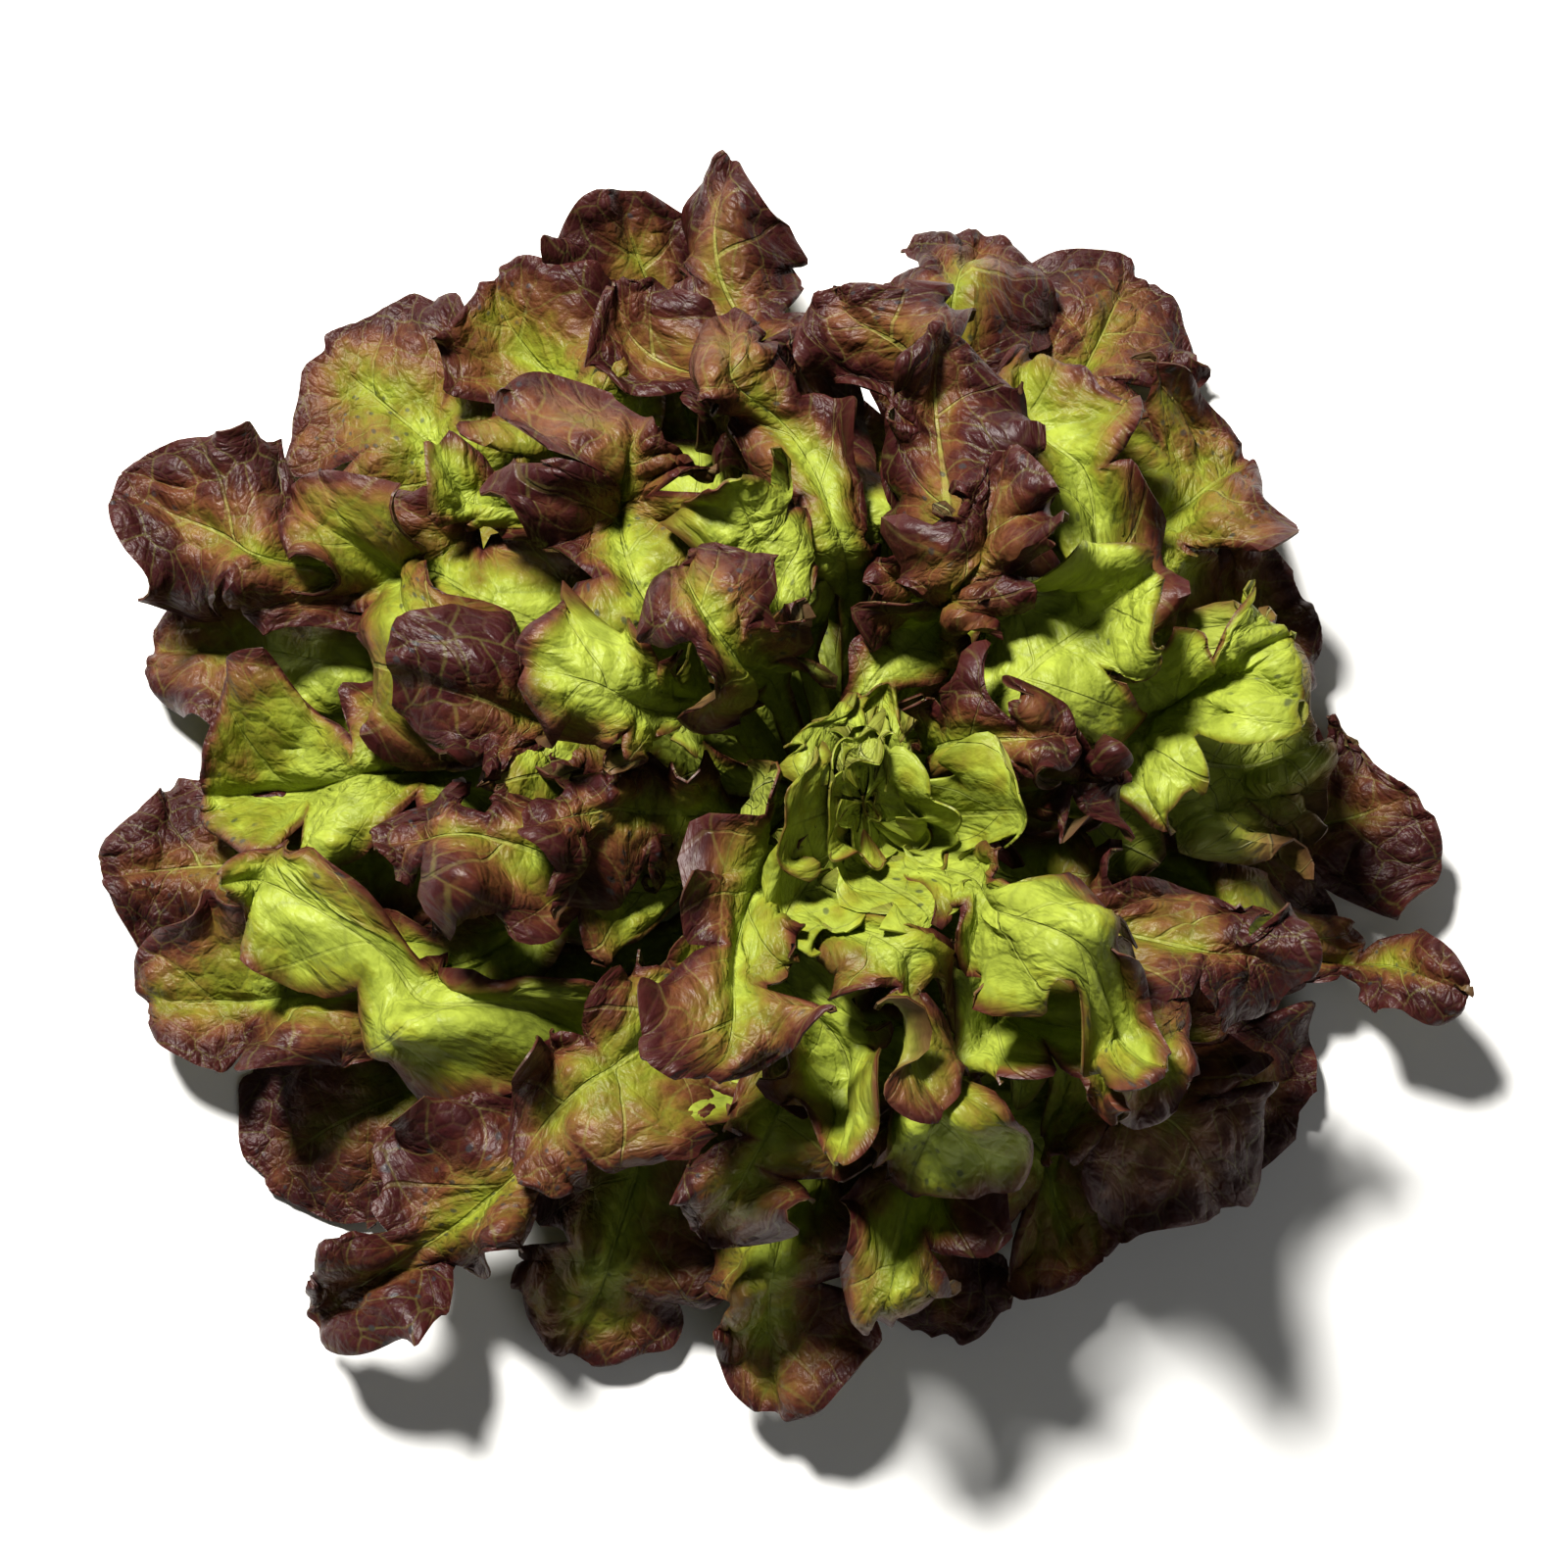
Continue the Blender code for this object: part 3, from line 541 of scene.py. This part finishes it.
heartForm = {     # a pair of numbers is for the outermost and the innermost leaf
    "count": 24, "rows": 48, "columns": 28, "seed": 8300, "puffSeed": 60, "puffSize": 0.004,
    "coreRadius": 0.0054, "coreTaper": 0.6, "coreTop": 0.0690, "coreSides": 24,
    "root": 0.0535, "lengths": (0.052, 0.034), "lengthDraws": (0.78, 1.12), "halfWidth": 0.0125,
    "thickness": 0.0005, "layersIn": 2.4, "halfTurn": math.radians(50.0), "flare": (0.98, 0.12),
    "ruffle": 0.11, "recurve": 0.60, "recurveDraws": (-0.35, 1.0), "frill": 0.0034,
    "frillLength": 0.0080, "tipFrill": 0.0012, "notchDepth": 0.55, "notchRate": 19.0,
    "tintDraws": (-0.12, 0.12), "edgeRed": 0.10, "marginRed": 0.30, "marginReach": 0.0010,
    "rednessRange": (-0.1, 1.0), "veinSpacing": 0.012,
}


def heartLeafSurface(order, along, across):
    draw = random.Random(heartForm["seed"] + order)
    inner = order / (heartForm["count"] - 1)
    azimuth = headForm["firstAzimuth"] + (leafCount + order) * headForm["goldenAngle"]
    flare = mix(*heartForm["flare"], inner)
    length = mix(*heartForm["lengths"], inner) * draw.uniform(*heartForm["lengthDraws"])
    turnStart = draw.uniform(0, math.tau)
    recurve = heartForm["recurve"] * draw.uniform(*heartForm["recurveDraws"])
    tint = draw.uniform(*heartForm["tintDraws"])
    edge = np.abs(across)
    distance = along + 0.10 * edge * along - 0.16 * edge ** 2 * along ** 3     # a rounded tip
    distance = heartForm["root"] + length * distance
    wall = math.pi / 2 - surfaceAngle(1.0 + heartForm["layersIn"] / leafCount, distance)

    # how far from the axis, as a share of the room inside the leaves
    ruffle = heartForm["ruffle"] * np.sin(7.0 * along + turnStart + 2.6 * across) * edge
    share = flare * mix(0.25, 1.0, smoothStep(along * 1.3)) + ruffle * along
    share = share + recurve * smoothStep((along - 0.55) / 0.45)

    # the width, with notches
    notch = 0.5 + 0.5 * np.cos(along * heartForm["notchRate"] + turnStart + 1.5 * np.sign(across))
    lobes = 1.0 - heartForm["notchDepth"] * notch ** 2
    width = heartForm["halfWidth"] * mix(0.35, 1.0, smoothStep(along * 1.5))
    width = width * np.sqrt(1.0 - (0.90 * along) ** 4)
    width = width * mix(1.0, lobes, edge * smoothStep(along * 1.8))
    turn = width / (distance * np.sin(np.maximum(0.06, wall * flare)))
    turn = across * np.minimum(heartForm["halfTurn"], turn)

    frillTurn = along * length / heartForm["frillLength"] * math.tau + turnStart * 2
    frillTurn = frillTurn + 1.5 * np.sin(9 * along)
    frill = heartForm["frill"] * np.sin(frillTurn) * edge ** 1.8 * smoothStep(along * 1.6)
    tipFrill = heartForm["tipFrill"] * np.sin(across * 5.0 + turnStart * 4)
    frill = frill + tipFrill * smoothStep((along - 0.5) / 0.5)
    points = headPoint(azimuth + turn, math.pi / 2 - wall * share + frill / distance, distance)
    aside = width * across
    marginGap = np.minimum((1.0 - edge) * width, (1.0 - along) * length)
    marginRed = heartForm["marginRed"] * (order % 3 == 0)     # every third leaf has a red margin
    redness = tint + heartForm["edgeRed"] * edge
    redness = redness + marginRed * np.exp(-marginGap / heartForm["marginReach"])
    veins = [length * along / heartForm["veinSpacing"] + edge, np.abs(aside) * mapScale]
    veins = np.stack(veins, axis=-1)
    size = heartForm["puffSize"]
    puffSeed = heartForm["puffSeed"] + order
    puff = blisterNoise(aside / size + leafForm["noiseShift"], length * along / size, puffSeed)
    return {
        "points": sharedSwell(points), "veins": [veins, veins], "marginGap": marginGap, "puff": puff,
        "blade": np.stack([aside, length * along], axis=-1) * mapScale, "rib": np.ones_like(along),
        "redness": np.clip(redness, *heartForm["rednessRange"]),
    }


def makeHeart(material):
    blades = []
    for order in range(heartForm["count"]):
        blades.append(makeBlade(
            f"heartLeaf{order + 1:02d}", heartForm["rows"], heartForm["columns"], 1.0,
            lambda along, across: heartLeafSurface(order, along, across),
            heartForm["thickness"], heartForm["thickness"]))
    deselectAll()
    low = headForm["stemHeight"] + headForm["gap"]
    depth = heartForm["coreTop"] - low
    topRadius = heartForm["coreRadius"] * heartForm["coreTaper"]
    bpy.ops.mesh.primitive_cone_add(
        vertices=heartForm["coreSides"], radius1=heartForm["coreRadius"], radius2=topRadius,
        depth=depth, location=(0, 0, low + depth / 2))
    bpy.ops.object.transform_apply(location=True, rotation=False, scale=False)
    for blade in blades:     # the core is still selected
        blade.select_set(True)
    bpy.context.view_layer.objects.active = blades[0]
    bpy.ops.object.join()
    heart = bpy.context.active_object
    heart.name = "heartLeaves"
    finishPiece(heart, material, leafForm["smoothAngle"], "heart")


stemForm = {
    "sides": 72, "rings": 14, "chamfer": 0.0012, "chamferSteps": 3, "sharpAngle": math.radians(50),
    "smoothAngle": math.radians(40), "bump": 0.00025, "rimLength": 0.004,
    "ridges": ((5, 260, 1.0), (8, -410, 0.6)),     # ridges round the stem, their twist and strength
}


def makeStem(material):
    deselectAll()
    height = headForm["stemHeight"]
    top = headForm["stemRadius"] - headForm["stemTaper"] * height
    bpy.ops.mesh.primitive_cone_add(vertices=stemForm["sides"], radius1=headForm["stemRadius"],
                                    radius2=top, depth=height, location=(0, 0, height / 2))
    stem = bpy.context.active_object
    stem.name = "cutStem"
    bpy.ops.object.transform_apply(location=True, rotation=False, scale=False)
    bpy.ops.object.mode_set(mode="EDIT")
    for ring in range(1, stemForm["rings"]):
        bpy.ops.mesh.select_all(action="SELECT")
        bpy.ops.mesh.bisect(plane_co=(0, 0, height * ring / stemForm["rings"]), plane_no=(0, 0, 1))
    bpy.ops.object.mode_set(mode="OBJECT")
    bevel = stem.modifiers.new("rim", "BEVEL")
    bevel.width = stemForm["chamfer"]
    bevel.segments = stemForm["chamferSteps"]
    bevel.limit_method = "ANGLE"
    bevel.angle_limit = stemForm["sharpAngle"]
    bpy.ops.object.modifier_apply(modifier="rim")
    for vertex in stem.data.vertices:     # low ridges, which fade out at both rims
        x, y, z = vertex.co
        turn = math.atan2(y, x)
        swell = sum(size * math.sin(turn * count + z * twist)
                    for count, twist, size in stemForm["ridges"])
        rim = min(1.0, max(0.0, z / stemForm["rimLength"]))
        rim = rim * min(1.0, max(0.0, (height - z) / stemForm["rimLength"]))
        reach = math.hypot(x, y)
        if reach > 0.001:
            out = 1.0 + stemForm["bump"] * (swell - 1.6) * rim / reach
            vertex.co.x *= out
            vertex.co.y *= out
    finishPiece(stem, material, stemForm["smoothAngle"], "stem")


class Wire:     # a shader value that takes part in Python sums
    def __init__(self, board, socket):
        self.board = board
        self.socket = socket

    def __add__(self, other):
        return self.board.sum("ADD", self, other)

    __radd__ = __add__

    def __sub__(self, other):
        return self.board.sum("SUBTRACT", self, other)

    def __rsub__(self, other):
        return self.board.sum("SUBTRACT", other, self)

    def __mul__(self, other):
        return self.board.sum("MULTIPLY", self, other)

    __rmul__ = __mul__

    def __truediv__(self, other):
        return self.board.sum("DIVIDE", self, other)


class Board:     # one material's nodes
    def __init__(self, name):
        self.material = bpy.data.materials.new(name)
        self.material.use_nodes = True
        self.tree = self.material.node_tree
        self.tree.nodes.clear()

    def add(self, kind, settings=None, sockets=None, output=0):
        node = self.tree.nodes.new(kind)
        for key, value in (settings or {}).items():
            if key == "stops":
                ramp = node.color_ramp
                while len(ramp.elements) < len(value):
                    ramp.elements.new(0.5)
                for element, (position, colour) in zip(ramp.elements, value):
                    element.position = position
                    element.color = (*colour, 1.0)
            else:
                setattr(node, key, value)
        for key, value in (sockets or {}).items():
            if isinstance(value, Wire):
                self.tree.links.new(value.socket, node.inputs[key])
            else:
                node.inputs[key].default_value = value
        return Wire(self, node.outputs[output]) if len(node.outputs) else node

    def sum(self, operation, first, second=0.0):
        return self.add("ShaderNodeMath", {"operation": operation}, {0: first, 1: second})

    def step(self, value, low, high):     # 0 below low, 1 above high
        settings = {"interpolation_type": "SMOOTHSTEP", "clamp": True}
        return self.add("ShaderNodeMapRange", settings, {0: value, 1: low, 2: high, 3: 0.0, 4: 1.0})

    def blend(self, share, first, second):     # colours
        return self.add("ShaderNodeMix", {"data_type": "RGBA"}, {0: share, 6: first, 7: second}, 2)

    def noise(self, place, scale, detail, roughness=0.5, output=0):
        sockets = {"Vector": place, "Scale": scale, "Detail": detail, "Roughness": roughness}
        return self.add("ShaderNodeTexNoise", {}, sockets, output)

    def axes(self, vector):     # its x, y and z
        first = self.add("ShaderNodeSeparateXYZ", {}, {0: vector})
        return [Wire(self, output) for output in first.socket.node.outputs]

    def value(self, name):     # a number held by the points
        return self.add("ShaderNodeAttribute", {"attribute_name": name}, {}, 2)

    def finish(self, surface):
        self.add("ShaderNodeOutputMaterial", {}, {0: surface})
        return self.material


leafSkin = {
    "ramp": [     # by redness
        (0.00, (0.390, 0.456, 0.072)), (0.15, (0.302, 0.330, 0.040)), (0.32, (0.210, 0.190, 0.026)),
        (0.48, (0.174, 0.112, 0.024)), (0.66, (0.128, 0.052, 0.021)), (0.84, (0.071, 0.020, 0.012)),
        (1.00, (0.038, 0.008, 0.009)),
    ],
    "underPale": (0.26, 0.25, 0.09, 1.0), "underVein": (0.44, 0.46, 0.19, 1.0),
    "veinColour": (0.36, 0.40, 0.10, 1.0), "marginColour": (0.070, 0.018, 0.014, 1.0),
    "through": (0.38, 0.45, 0.040, 1.0), "speckColour": (0.035, 0.040, 0.045, 1.0),
    "patchScale": 55.0, "mottleScale": 420.0, "cloudScale": 150.0, "speckScale": 22.0,
    "speckPlaceScale": 38.0, "crinkleScale": 62.0, "grainScale": 260.0, "bendScale": 9.0,
    "patchRed": 1.00, "mottleRed": 0.26, "puffRed": 0.28, "netRed": 0.05,
    "tone": 0.30, "cloudTone": 1.05, "puffPaintedShade": 0.25, "netPaintedShade": 0.16,     # the skin's brightness: random clouds, plus painted shade, darker in the blister creases and along the sunken net of veins
    "cell": 0.0068, "fineCell": 0.0019, "netBend": (0.07, 0.07, 0.0),     # the net of small veins
    "netEdges": (0.008, 0.042), "fineEdges": (0.02, 0.12), "betweenEdges": (0.003, 0.011),
    "sideWidth": (0.019, 0.035), "midribWidth": (0.0150, 0.0105),     # at first, and its loss
    "netShare": 0.11, "fineShare": 0.03, "veinShare": 0.42, "sideShare": 0.85, "betweenShare": 0.5,
    "redVeinLoss": 0.32, "marginShare": 0.60, "speckShare": 0.65,
    "underRed": 0.14, "underPaleShare": 0.26, "underVeinShare": 0.70,
    "underNetShare": 0.16, "underMarginShare": 0.5, "throughShare": 0.34, "redThroughLoss": 0.30,
    "netRelief": 0.7, "fineRelief": 0.16, "crinkleRelief": 0.5, "grainRelief": 0.14,
    "veinSink": 0.45, "betweenSink": 0.1, "underVeinRise": 2.2, "underNetRise": 0.6,
    "roughness": 0.35, "roughSpread": 0.20, "specular": 0.26, "bump": 0.9, "bumpDepth": 0.0009,
}


def leafMaterial():
    board = Board("leafSkin")
    look = leafSkin
    blade = board.add("ShaderNodeUVMap", {"uv_map": "blade"})
    veinPlace = board.add("ShaderNodeUVMap", {"uv_map": "veins"})
    place = board.add("ShaderNodeTexCoord", {}, {}, 3)
    redness = board.value("redness")
    margin = board.value("margin")
    along = board.value("along")
    puff = board.value("puff")

    # the net of small veins, bent a little by noise
    bend = board.noise(blade, look["bendScale"], 1.0, output=1)
    bentBlade = board.add("ShaderNodeVectorMath", {"operation": "MULTIPLY_ADD"},
                          {0: bend, 1: look["netBend"], 2: blade})
    netSettings = {"feature": "DISTANCE_TO_EDGE", "voronoi_dimensions": "2D"}
    net, fineNet = (board.add("ShaderNodeTexVoronoi", netSettings,
                              {"Vector": bentBlade, "Scale": 1 / mapScale / look[cell]})
                    for cell in ("cell", "fineCell"))
    netLine = 1 - board.step(net, *look["netEdges"])
    fineLine = 1 - board.step(fineNet, *look["fineEdges"])

    # side veins, the veins between them and the midrib
    phase, aside, _ = board.axes(veinPlace)
    sideGap = board.sum("PINGPONG", phase + 0.5, 0.5)
    betweenGap = board.sum("PINGPONG", phase, 0.5)
    sideWidth = look["sideWidth"][0] - look["sideWidth"][1] * aside
    sideVein = 1 - board.step(sideGap / sideWidth, 0.35, 1.0)
    betweenVein = 1 - board.step(betweenGap, *look["betweenEdges"])
    midribWidth = look["midribWidth"][0] - look["midribWidth"][1] * along
    midrib = 1 - board.step(aside / midribWidth, 0.45, 1.0)
    mainVein = board.sum("MAXIMUM", midrib, sideVein * look["sideShare"])
    mainVein = mainVein * board.step(1 - along, 0.01, 0.14)     # gone at the tip

    # the red of the skin in blotches, the skin light and dark in clouds, and painted shade: the skin
    # darker in the blister creases and along the sunken net of veins
    patches = board.noise(place, look["patchScale"], 3.0, 0.6)
    mottle = board.noise(place, look["mottleScale"], 2.0, 0.6)
    cloud = board.noise(place, look["cloudScale"], 3.0, 0.65)
    red = redness + (patches - 0.5) * look["patchRed"] + (mottle - 0.5) * look["mottleRed"]
    red = red + (puff - 0.6) * look["puffRed"] - netLine * look["netRed"]
    skin = board.add("ShaderNodeValToRGB", {"stops": look["ramp"]}, {"Fac": red})
    # painted shade: blister tops lighter and their creases darker, and the sunken net of veins
    # darker
    tone = look["tone"] + look["cloudTone"] * cloud + look["puffPaintedShade"] * puff
    tone = tone - look["netPaintedShade"] * netLine
    skin = board.add("ShaderNodeVectorMath", {"operation": "SCALE"}, {0: skin, "Scale": tone})

    # veins, margins and specks over it
    netShare = netLine * look["netShare"] + fineLine * look["fineShare"]
    skin = board.blend(netShare, skin, look["veinColour"])
    veinStrength = look["veinShare"] - look["redVeinLoss"] * board.step(red, 0.45, 0.90)
    veinShare = board.sum("MAXIMUM", mainVein, betweenVein * look["betweenShare"]) * veinStrength
    skin = board.blend(veinShare, skin, look["veinColour"])
    marginShare = margin * look["marginShare"] * board.step(redness, 0.10, 0.45)
    skin = board.blend(marginShare, skin, look["marginColour"])
    specks = board.add("ShaderNodeTexVoronoi", {"voronoi_dimensions": "2D"},
                       {"Vector": blade, "Scale": look["speckScale"]})
    speckPlace = board.noise(place, look["speckPlaceScale"], 0.0)
    speck = (1 - board.step(specks, 0.07, 0.14)) * board.step(speckPlace, 0.60, 0.68)
    skin = board.blend(speck * look["speckShare"], skin, look["speckColour"])

    # the paler underside, whose veins stand out
    isUnder = board.step(board.value("under"), 0.4, 0.6)
    underRed = red - look["underRed"]
    underside = board.add("ShaderNodeValToRGB", {"stops": look["ramp"]}, {"Fac": underRed})
    underside = board.blend(look["underPaleShare"], underside, look["underPale"])
    underNet = netLine * look["underNetShare"]
    underVein = board.sum("MAXIMUM", mainVein * look["underVeinShare"], underNet)
    underside = board.blend(underVein, underside, look["underVein"])
    underside = board.blend(margin * look["underMarginShare"], underside, look["marginColour"])
    skin = board.blend(isUnder, skin, underside)

    # fine relief: small blisters, sunken veins and the grain of the skin
    crinkle = board.noise(blade, look["crinkleScale"], 3.0, 0.62)
    grain = board.noise(blade, look["grainScale"], 2.0)
    height = board.step(net, 0.0, 0.35) * look["netRelief"]
    height = height + board.step(fineNet, 0.0, 0.3) * look["fineRelief"]
    height = height + crinkle * look["crinkleRelief"] + grain * look["grainRelief"]
    height = height - mainVein * look["veinSink"] - betweenVein * look["betweenSink"]
    underHeight = mainVein * look["underVeinRise"] + netLine * look["underNetRise"]
    height = height + isUnder * underHeight
    bump = board.add("ShaderNodeBump", {}, {
        "Strength": look["bump"], "Distance": look["bumpDepth"], "Height": height,
    })

    surface = board.add("ShaderNodeBsdfPrincipled", {}, {
        "Base Color": skin, "Roughness": look["roughness"] + mottle * look["roughSpread"],
        "Normal": bump, "Specular IOR Level": look["specular"],
    })
    glow = board.add("ShaderNodeBsdfTranslucent", {}, {"Color": look["through"]})
    share = look["throughShare"] - look["redThroughLoss"] * board.step(red, 0.1, 0.75)
    return board.finish(board.add("ShaderNodeMixShader", {}, {0: share, 1: surface, 2: glow}))


stemSkin = {
    "neck": (0.66, 0.66, 0.40, 1.0), "side": (0.46, 0.52, 0.22, 1.0),
    "cut": (0.78, 0.76, 0.55, 1.0), "stain": (0.36, 0.17, 0.07, 1.0),
    "cutDepth": (0.0004, 0.0014), "ringInside": (0.0085, 0.0115), "ringOutside": (0.0130, 0.0150),
    "ringShare": 0.55, "blotchShare": 0.12, "grainScale": 500.0, "blotchScale": 110.0,
    "roughness": 0.42, "roughSpread": 0.2, "bump": 0.5, "bumpDepth": 0.0006,
}


def stemMaterial():
    board = Board("stemSkin")
    place = board.add("ShaderNodeTexCoord", {}, {}, 3)
    x, y, z = board.axes(place)
    reach = board.sum("SQRT", x * x + y * y)
    grain = board.noise(place, stemSkin["grainScale"], 3.0)
    blotch = board.noise(place, stemSkin["blotchScale"], 2.0)
    colour = board.blend(board.step(z, 0.004, 0.045), stemSkin["neck"], stemSkin["side"])

    # the cut face, with a brown ring of dried sap
    cut = 1 - board.step(z, *stemSkin["cutDepth"])
    ring = board.step(reach + (blotch - 0.5) * 0.003, *stemSkin["ringInside"])
    ring = ring * (1 - board.step(reach, *stemSkin["ringOutside"]))
    stain = ring * stemSkin["ringShare"] + blotch * stemSkin["blotchShare"]
    cutColour = board.blend(stain, stemSkin["cut"], stemSkin["stain"])
    colour = board.blend(cut, colour, cutColour)

    height = grain * 0.6 + blotch * 0.8
    bump = board.add("ShaderNodeBump", {}, {
        "Strength": stemSkin["bump"], "Distance": stemSkin["bumpDepth"], "Height": height,
    })
    surface = board.add("ShaderNodeBsdfPrincipled", {}, {
        "Base Color": colour, "Roughness": stemSkin["roughness"] + grain * stemSkin["roughSpread"],
        "Normal": bump,
    })
    return board.finish(surface)


floorForm = {"size": 6.0, "colour": (0.86, 0.86, 0.85, 1.0), "roughness": 0.8}


def makeFloor():
    deselectAll()
    bpy.ops.mesh.primitive_plane_add(size=floorForm["size"], location=(0, 0, 0))
    floor = bpy.context.active_object
    floor.name = "paleFloor"
    board = Board("palePaper")
    surface = board.add("ShaderNodeBsdfPrincipled", {}, {
        "Base Color": floorForm["colour"], "Roughness": floorForm["roughness"],
    })
    floor.data.materials.append(board.finish(surface))


studio = {
    "keyPlace": (-0.60, 1.05, 1.70), "keySize": 0.40, "keyPower": 94.0,
    "keyColour": (1.0, 0.98, 0.94),
    "fillPlace": (0.7, -0.9, 1.6), "fillSize": 1.6, "fillPower": 3.8,
    "fillColour": (0.97, 0.98, 1.0),
    "aim": (0, 0, 0.05), "world": 0.050, "worldColour": (1.0, 0.98, 0.94, 1.0),
}


def addLamp(kind):     # key or fill
    place = Vector(studio[f"{kind}Place"])
    data = bpy.data.lights.new(f"{kind}Lamp", "AREA")
    data.shape = "DISK"
    data.size = studio[f"{kind}Size"]
    data.energy = studio[f"{kind}Power"]
    data.color = studio[f"{kind}Colour"]
    lamp = bpy.data.objects.new(f"{kind}Lamp", data)
    bpy.context.scene.collection.objects.link(lamp)
    lamp.location = place
    lamp.rotation_euler = (Vector(studio["aim"]) - place).to_track_quat("-Z", "Y").to_euler()


def makeLights():
    addLamp("key")
    addLamp("fill")
    world = bpy.data.worlds.new("studioWorld")
    world.use_nodes = True
    background = world.node_tree.nodes["Background"]
    background.inputs["Color"].default_value = studio["worldColour"]
    background.inputs["Strength"].default_value = studio["world"]
    bpy.context.scene.world = world
    bpy.context.scene.view_settings.view_transform = "Standard"
    bpy.context.scene.view_settings.look = "Medium High Contrast"


photoView = {
    "target": (-0.0113, 0.0010, 0.040), "elevation": math.radians(84.0), "distance": 1.1,
    "frameWidth": 0.362, "sensorWidth": 36.0,
}


def makeCamera():
    data = bpy.data.cameras.new("photoCamera")
    data.sensor_width = photoView["sensorWidth"]
    data.lens = photoView["sensorWidth"] * photoView["distance"] / photoView["frameWidth"]
    camera = bpy.data.objects.new("photoCamera", data)
    bpy.context.scene.collection.objects.link(camera)
    back = Vector((0, -math.cos(photoView["elevation"]), math.sin(photoView["elevation"])))
    camera.location = Vector(photoView["target"]) + back * photoView["distance"]
    camera.rotation_euler = (-back).to_track_quat("-Z", "Y").to_euler()
    bpy.context.scene.camera = camera


makeCamera()
makeLights()
makeFloor()
skin = leafMaterial()
makeStem(stemMaterial())
print("stem made")
for order in range(leafCount):
    makeLeaf(leafPlan(order), skin)
print("leaves made")
makeHeart(skin)
print("heart made")
